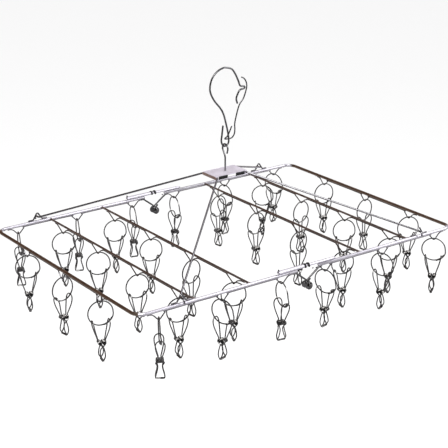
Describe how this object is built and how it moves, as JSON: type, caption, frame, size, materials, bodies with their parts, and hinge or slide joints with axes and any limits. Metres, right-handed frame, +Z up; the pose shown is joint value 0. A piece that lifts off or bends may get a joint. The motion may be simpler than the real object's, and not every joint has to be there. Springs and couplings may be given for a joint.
{
  "type": "clip drying hanger",
  "caption": "Folding stainless wire drying hanger: rectangular rod frame on four legs under a swivel plate and pole hook, hung all round with wire pinches.",
  "frame": {"origin": "underside of the hook's crest, where the pole sits", "axes": "+Z up, X along the frame's long side, Y along the fold axis and across the frame"},
  "size_m": [0.5959, 0.4238, 0.3429],
  "materials": {
    "rail": "bright drawn stainless",
    "bar": "stainless rod reflecting warm dark tones",
    "wire": "polished stainless wire",
    "spring": "close wound spring wire",
    "plate": "satin stainless sheet"
  },
  "bodies": {
    "hook": {"main_hook": "wire"},
    "gate": {"gate": "wire"},
    "swivel": {"swivel_rod": "wire", "swivel_nut": "wire"},
    "plate": {"centre_plate": "plate"},
    "left_arm": {"left_arm": "wire"},
    "left_half": {"left_rail": "rail", "left_bar_1": "bar", "left_bar_2": "bar", "left_bracket_front": "wire", "left_bracket_back": "wire", "fold_pin_front": "wire", "fold_pin_back": "wire"},
    "right_half": {"right_rail": "rail", "right_bar_1": "bar", "right_bar_2": "bar", "right_bracket_front": "wire", "right_bracket_back": "wire"},
    "right_arm": {"right_arm": "wire"},
    "sleeve_front": {"lock_sleeve_front": "rail"},
    "sleeve_back": {"lock_sleeve_back": "rail"},
    "pinch_l_front_1": {"pinch_l_front_1": "wire"},
    "ring": {"pinch_l_front_2_ring": "wire"},
    "clip": {"pinch_l_front_2_spring": "spring"},
    "clip_jaw_a": {"pinch_l_front_2_jaw_a": "wire"},
    "clip_jaw_b": {"pinch_l_front_2_jaw_b": "wire"},
    "pinch_l_front_3": {"pinch_l_front_3": "wire"},
    "pinch_l_back_1": {"pinch_l_back_1": "wire"},
    "pinch_l_back_2": {"pinch_l_back_2": "wire"},
    "pinch_l_back_3": {"pinch_l_back_3": "wire"},
    "pinch_l_bar1_1": {"pinch_l_bar1_1": "wire"},
    "pinch_l_bar1_2": {"pinch_l_bar1_2": "wire"},
    "pinch_l_bar1_3": {"pinch_l_bar1_3": "wire"},
    "pinch_l_bar1_4": {"pinch_l_bar1_4": "wire"},
    "pinch_l_bar2_1": {"pinch_l_bar2_1": "wire"},
    "pinch_l_bar2_2": {"pinch_l_bar2_2": "wire"},
    "pinch_l_bar2_3": {"pinch_l_bar2_3": "wire"},
    "pinch_l_bar2_4": {"pinch_l_bar2_4": "wire"},
    "pinch_l_end_1": {"pinch_l_end_1": "wire"},
    "pinch_l_end_2": {"pinch_l_end_2": "wire"},
    "pinch_l_end_3": {"pinch_l_end_3": "wire"},
    "pinch_r_front_1": {"pinch_r_front_1": "wire"},
    "pinch_r_front_2": {"pinch_r_front_2": "wire"},
    "pinch_r_front_3": {"pinch_r_front_3": "wire"},
    "pinch_r_back_1": {"pinch_r_back_1": "wire"},
    "pinch_r_back_2": {"pinch_r_back_2": "wire"},
    "pinch_r_back_3": {"pinch_r_back_3": "wire"},
    "pinch_r_bar1_1": {"pinch_r_bar1_1": "wire"},
    "pinch_r_bar1_2": {"pinch_r_bar1_2": "wire"},
    "pinch_r_bar1_3": {"pinch_r_bar1_3": "wire"},
    "pinch_r_bar1_4": {"pinch_r_bar1_4": "wire"},
    "pinch_r_bar2_1": {"pinch_r_bar2_1": "wire"},
    "pinch_r_bar2_2": {"pinch_r_bar2_2": "wire"},
    "pinch_r_bar2_3": {"pinch_r_bar2_3": "wire"},
    "pinch_r_bar2_4": {"pinch_r_bar2_4": "wire"},
    "pinch_r_end_1": {"pinch_r_end_1": "wire"},
    "pinch_r_end_2": {"pinch_r_end_2": "wire"},
    "pinch_r_end_3": {"pinch_r_end_3": "wire"}
  },
  "joints": [
    {"name": "gate_opening", "type": "hinge", "parent": "hook", "child": "gate", "pos_m": [0.005, 0, -0.104], "axis": [0, 1, 0], "range_deg": [0, 38], "stiffness_Nm_per_rad": 0.02},
    {"name": "hook_swing", "type": "hinge", "parent": "hook", "child": "swivel", "pos_m": [0, 0, -0.11585], "axis": [1, 0, 0], "range_deg": [-25, 25]},
    {"name": "plate_swivel", "type": "hinge", "parent": "swivel", "child": "plate", "pos_m": [0, 0, -0.1565], "axis": [0, 0, 1], "continuous": true},
    {"name": "fold", "type": "hinge", "parent": "plate", "child": "left_arm", "pos_m": [-0.027, 0, -0.1565], "axis": [0, -1, 0], "range_deg": [0, 64.78]},
    {"name": "left_bracket_hinge", "type": "hinge", "parent": "left_arm", "child": "left_half", "pos_m": [-0.212, 0, -0.237], "axis": [0, -1, 0], "range_deg": [0, 25.24]},
    {"name": "centre_fold", "type": "hinge", "parent": "left_half", "child": "right_half", "pos_m": [0, 0, -0.27], "axis": [0, 1, 0], "range_deg": [0, 180.02]},
    {"name": "right_bracket_hinge", "type": "hinge", "parent": "right_half", "child": "right_arm", "pos_m": [0.212, 0, -0.237], "axis": [0, -1, 0], "range_deg": [0, 25.24]},
    {"name": "sleeve_front_slide", "type": "slide", "parent": "left_half", "child": "sleeve_front", "axis": [-1, 0, 0], "range_m": [0, 0.046]},
    {"name": "sleeve_back_slide", "type": "slide", "parent": "left_half", "child": "sleeve_back", "axis": [-1, 0, 0], "range_m": [0, 0.046]},
    {"name": "pinch_l_front_1_hang", "type": "hinge", "parent": "left_half", "child": "pinch_l_front_1", "pos_m": [-0.045, -0.194, -0.2549], "axis": [0, 1, 0], "range_deg": [0, 86.02]},
    {"name": "ring_hang", "type": "hinge", "parent": "left_half", "child": "ring", "pos_m": [-0.146, -0.194, -0.2549], "axis": [0, 1, 0], "range_deg": [0, 86.02]},
    {"name": "clip_sway", "type": "hinge", "parent": "ring", "child": "clip", "pos_m": [-0.146, -0.194, -0.2723], "axis": [0.9455, 0.3256, 0], "range_deg": [-15, 15]},
    {"name": "jaw_a_opening", "type": "hinge", "parent": "clip", "child": "clip_jaw_a", "pos_m": [-0.146, -0.194, -0.3149], "axis": [0.9455, 0.3256, 0], "range_deg": [0, 14], "stiffness_Nm_per_rad": 0.05},
    {"name": "jaw_b_opening", "type": "hinge", "parent": "clip", "child": "clip_jaw_b", "pos_m": [-0.146, -0.194, -0.3149], "axis": [-0.9455, -0.3256, 0], "range_deg": [0, 14]},
    {"name": "pinch_l_front_3_hang", "type": "hinge", "parent": "left_half", "child": "pinch_l_front_3", "pos_m": [-0.247, -0.194, -0.2549], "axis": [0, 1, 0], "range_deg": [0, 86.02]},
    {"name": "pinch_l_back_1_hang", "type": "hinge", "parent": "left_half", "child": "pinch_l_back_1", "pos_m": [-0.041, 0.194, -0.2549], "axis": [0, 1, 0], "range_deg": [0, 86.02]},
    {"name": "pinch_l_back_2_hang", "type": "hinge", "parent": "left_half", "child": "pinch_l_back_2", "pos_m": [-0.143, 0.194, -0.2549], "axis": [0, 1, 0], "range_deg": [0, 86.02]},
    {"name": "pinch_l_back_3_hang", "type": "hinge", "parent": "left_half", "child": "pinch_l_back_3", "pos_m": [-0.245, 0.194, -0.2549], "axis": [0, 1, 0], "range_deg": [0, 86.02]},
    {"name": "pinch_l_bar1_1_hang", "type": "hinge", "parent": "left_half", "child": "pinch_l_bar1_1", "pos_m": [-0.099, -0.155, -0.2575], "axis": [0, 1, 0], "range_deg": [0, 93.02]},
    {"name": "pinch_l_bar1_2_hang", "type": "hinge", "parent": "left_half", "child": "pinch_l_bar1_2", "pos_m": [-0.099, -0.053, -0.2575], "axis": [0, 1, 0], "range_deg": [0, 93.02]},
    {"name": "pinch_l_bar1_3_hang", "type": "hinge", "parent": "left_half", "child": "pinch_l_bar1_3", "pos_m": [-0.099, 0.053, -0.2575], "axis": [0, 1, 0], "range_deg": [0, 93.02]},
    {"name": "pinch_l_bar1_4_hang", "type": "hinge", "parent": "left_half", "child": "pinch_l_bar1_4", "pos_m": [-0.099, 0.155, -0.2575], "axis": [0, 1, 0], "range_deg": [0, 93.02]},
    {"name": "pinch_l_bar2_1_hang", "type": "hinge", "parent": "left_half", "child": "pinch_l_bar2_1", "pos_m": [-0.1905, -0.155, -0.2575], "axis": [0, 1, 0], "range_deg": [0, 93.02]},
    {"name": "pinch_l_bar2_2_hang", "type": "hinge", "parent": "left_half", "child": "pinch_l_bar2_2", "pos_m": [-0.1905, -0.053, -0.2575], "axis": [0, 1, 0], "range_deg": [0, 93.02]},
    {"name": "pinch_l_bar2_3_hang", "type": "hinge", "parent": "left_half", "child": "pinch_l_bar2_3", "pos_m": [-0.1905, 0.053, -0.2575], "axis": [0, 1, 0], "range_deg": [0, 93.02]},
    {"name": "pinch_l_bar2_4_hang", "type": "hinge", "parent": "left_half", "child": "pinch_l_bar2_4", "pos_m": [-0.1905, 0.155, -0.2575], "axis": [0, 1, 0], "range_deg": [0, 93.02]},
    {"name": "pinch_l_end_1_hang", "type": "hinge", "parent": "left_half", "child": "pinch_l_end_1", "pos_m": [-0.28, -0.102, -0.2575], "axis": [0, 1, 0], "range_deg": [0, 88.02]},
    {"name": "pinch_l_end_2_hang", "type": "hinge", "parent": "left_half", "child": "pinch_l_end_2", "pos_m": [-0.28, 0, -0.2575], "axis": [0, 1, 0], "range_deg": [0, 88.02]},
    {"name": "pinch_l_end_3_hang", "type": "hinge", "parent": "left_half", "child": "pinch_l_end_3", "pos_m": [-0.28, 0.102, -0.2575], "axis": [0, 1, 0], "range_deg": [0, 88.02]},
    {"name": "pinch_r_front_1_hang", "type": "hinge", "parent": "right_half", "child": "pinch_r_front_1", "pos_m": [0.033, -0.194, -0.2549], "axis": [0, -1, 0], "range_deg": [0, 86.02]},
    {"name": "pinch_r_front_2_hang", "type": "hinge", "parent": "right_half", "child": "pinch_r_front_2", "pos_m": [0.141, -0.194, -0.2549], "axis": [0, -1, 0], "range_deg": [0, 86.02]},
    {"name": "pinch_r_front_3_hang", "type": "hinge", "parent": "right_half", "child": "pinch_r_front_3", "pos_m": [0.245, -0.194, -0.2549], "axis": [0, -1, 0], "range_deg": [0, 86.02]},
    {"name": "pinch_r_back_1_hang", "type": "hinge", "parent": "right_half", "child": "pinch_r_back_1", "pos_m": [0.039, 0.194, -0.2549], "axis": [0, -1, 0], "range_deg": [0, 86.02]},
    {"name": "pinch_r_back_2_hang", "type": "hinge", "parent": "right_half", "child": "pinch_r_back_2", "pos_m": [0.141, 0.194, -0.2549], "axis": [0, -1, 0], "range_deg": [0, 86.02]},
    {"name": "pinch_r_back_3_hang", "type": "hinge", "parent": "right_half", "child": "pinch_r_back_3", "pos_m": [0.245, 0.194, -0.2549], "axis": [0, -1, 0], "range_deg": [0, 86.02]},
    {"name": "pinch_r_bar1_1_hang", "type": "hinge", "parent": "right_half", "child": "pinch_r_bar1_1", "pos_m": [0.099, -0.155, -0.2575], "axis": [0, -1, 0], "range_deg": [0, 93.02]},
    {"name": "pinch_r_bar1_2_hang", "type": "hinge", "parent": "right_half", "child": "pinch_r_bar1_2", "pos_m": [0.099, -0.053, -0.2575], "axis": [0, -1, 0], "range_deg": [0, 93.02]},
    {"name": "pinch_r_bar1_3_hang", "type": "hinge", "parent": "right_half", "child": "pinch_r_bar1_3", "pos_m": [0.099, 0.053, -0.2575], "axis": [0, -1, 0], "range_deg": [0, 93.02]},
    {"name": "pinch_r_bar1_4_hang", "type": "hinge", "parent": "right_half", "child": "pinch_r_bar1_4", "pos_m": [0.099, 0.155, -0.2575], "axis": [0, -1, 0], "range_deg": [0, 93.02]},
    {"name": "pinch_r_bar2_1_hang", "type": "hinge", "parent": "right_half", "child": "pinch_r_bar2_1", "pos_m": [0.1905, -0.155, -0.2575], "axis": [0, -1, 0], "range_deg": [0, 93.02]},
    {"name": "pinch_r_bar2_2_hang", "type": "hinge", "parent": "right_half", "child": "pinch_r_bar2_2", "pos_m": [0.1905, -0.053, -0.2575], "axis": [0, -1, 0], "range_deg": [0, 93.02]},
    {"name": "pinch_r_bar2_3_hang", "type": "hinge", "parent": "right_half", "child": "pinch_r_bar2_3", "pos_m": [0.1905, 0.053, -0.2575], "axis": [0, -1, 0], "range_deg": [0, 93.02]},
    {"name": "pinch_r_bar2_4_hang", "type": "hinge", "parent": "right_half", "child": "pinch_r_bar2_4", "pos_m": [0.1905, 0.155, -0.2575], "axis": [0, -1, 0], "range_deg": [0, 93.02]},
    {"name": "pinch_r_end_1_hang", "type": "hinge", "parent": "right_half", "child": "pinch_r_end_1", "pos_m": [0.28, -0.102, -0.2575], "axis": [0, -1, 0], "range_deg": [0, 88.02]},
    {"name": "pinch_r_end_2_hang", "type": "hinge", "parent": "right_half", "child": "pinch_r_end_2", "pos_m": [0.28, 0, -0.2575], "axis": [0, -1, 0], "range_deg": [0, 88.02]},
    {"name": "pinch_r_end_3_hang", "type": "hinge", "parent": "right_half", "child": "pinch_r_end_3", "pos_m": [0.28, 0.102, -0.2575], "axis": [0, -1, 0], "range_deg": [0, 88.02]}
  ],
  "couplings": [
    {"joint": "left_bracket_hinge", "follows": "fold", "ratio": 0.38931},
    {"joint": "centre_fold", "follows": "fold", "ratio": 2.7786},
    {"joint": "right_bracket_hinge", "follows": "fold", "ratio": 0.38931},
    {"joint": "pinch_l_front_1_hang", "follows": "fold", "ratio": 1.3276},
    {"joint": "ring_hang", "follows": "fold", "ratio": 1.3276},
    {"joint": "jaw_b_opening", "follows": "jaw_a_opening", "ratio": 1},
    {"joint": "pinch_l_front_3_hang", "follows": "fold", "ratio": 1.3276},
    {"joint": "pinch_l_back_1_hang", "follows": "fold", "ratio": 1.3276},
    {"joint": "pinch_l_back_2_hang", "follows": "fold", "ratio": 1.3276},
    {"joint": "pinch_l_back_3_hang", "follows": "fold", "ratio": 1.3276},
    {"joint": "pinch_l_bar1_1_hang", "follows": "fold", "ratio": 1.4356},
    {"joint": "pinch_l_bar1_2_hang", "follows": "fold", "ratio": 1.4356},
    {"joint": "pinch_l_bar1_3_hang", "follows": "fold", "ratio": 1.4356},
    {"joint": "pinch_l_bar1_4_hang", "follows": "fold", "ratio": 1.4356},
    {"joint": "pinch_l_bar2_1_hang", "follows": "fold", "ratio": 1.4356},
    {"joint": "pinch_l_bar2_2_hang", "follows": "fold", "ratio": 1.4356},
    {"joint": "pinch_l_bar2_3_hang", "follows": "fold", "ratio": 1.4356},
    {"joint": "pinch_l_bar2_4_hang", "follows": "fold", "ratio": 1.4356},
    {"joint": "pinch_l_end_1_hang", "follows": "fold", "ratio": 1.3584},
    {"joint": "pinch_l_end_2_hang", "follows": "fold", "ratio": 1.3584},
    {"joint": "pinch_l_end_3_hang", "follows": "fold", "ratio": 1.3584},
    {"joint": "pinch_r_front_1_hang", "follows": "fold", "ratio": 1.3276},
    {"joint": "pinch_r_front_2_hang", "follows": "fold", "ratio": 1.3276},
    {"joint": "pinch_r_front_3_hang", "follows": "fold", "ratio": 1.3276},
    {"joint": "pinch_r_back_1_hang", "follows": "fold", "ratio": 1.3276},
    {"joint": "pinch_r_back_2_hang", "follows": "fold", "ratio": 1.3276},
    {"joint": "pinch_r_back_3_hang", "follows": "fold", "ratio": 1.3276},
    {"joint": "pinch_r_bar1_1_hang", "follows": "fold", "ratio": 1.4356},
    {"joint": "pinch_r_bar1_2_hang", "follows": "fold", "ratio": 1.4356},
    {"joint": "pinch_r_bar1_3_hang", "follows": "fold", "ratio": 1.4356},
    {"joint": "pinch_r_bar1_4_hang", "follows": "fold", "ratio": 1.4356},
    {"joint": "pinch_r_bar2_1_hang", "follows": "fold", "ratio": 1.4356},
    {"joint": "pinch_r_bar2_2_hang", "follows": "fold", "ratio": 1.4356},
    {"joint": "pinch_r_bar2_3_hang", "follows": "fold", "ratio": 1.4356},
    {"joint": "pinch_r_bar2_4_hang", "follows": "fold", "ratio": 1.4356},
    {"joint": "pinch_r_end_1_hang", "follows": "fold", "ratio": 1.3584},
    {"joint": "pinch_r_end_2_hang", "follows": "fold", "ratio": 1.3584},
    {"joint": "pinch_r_end_3_hang", "follows": "fold", "ratio": 1.3584}
  ]
}
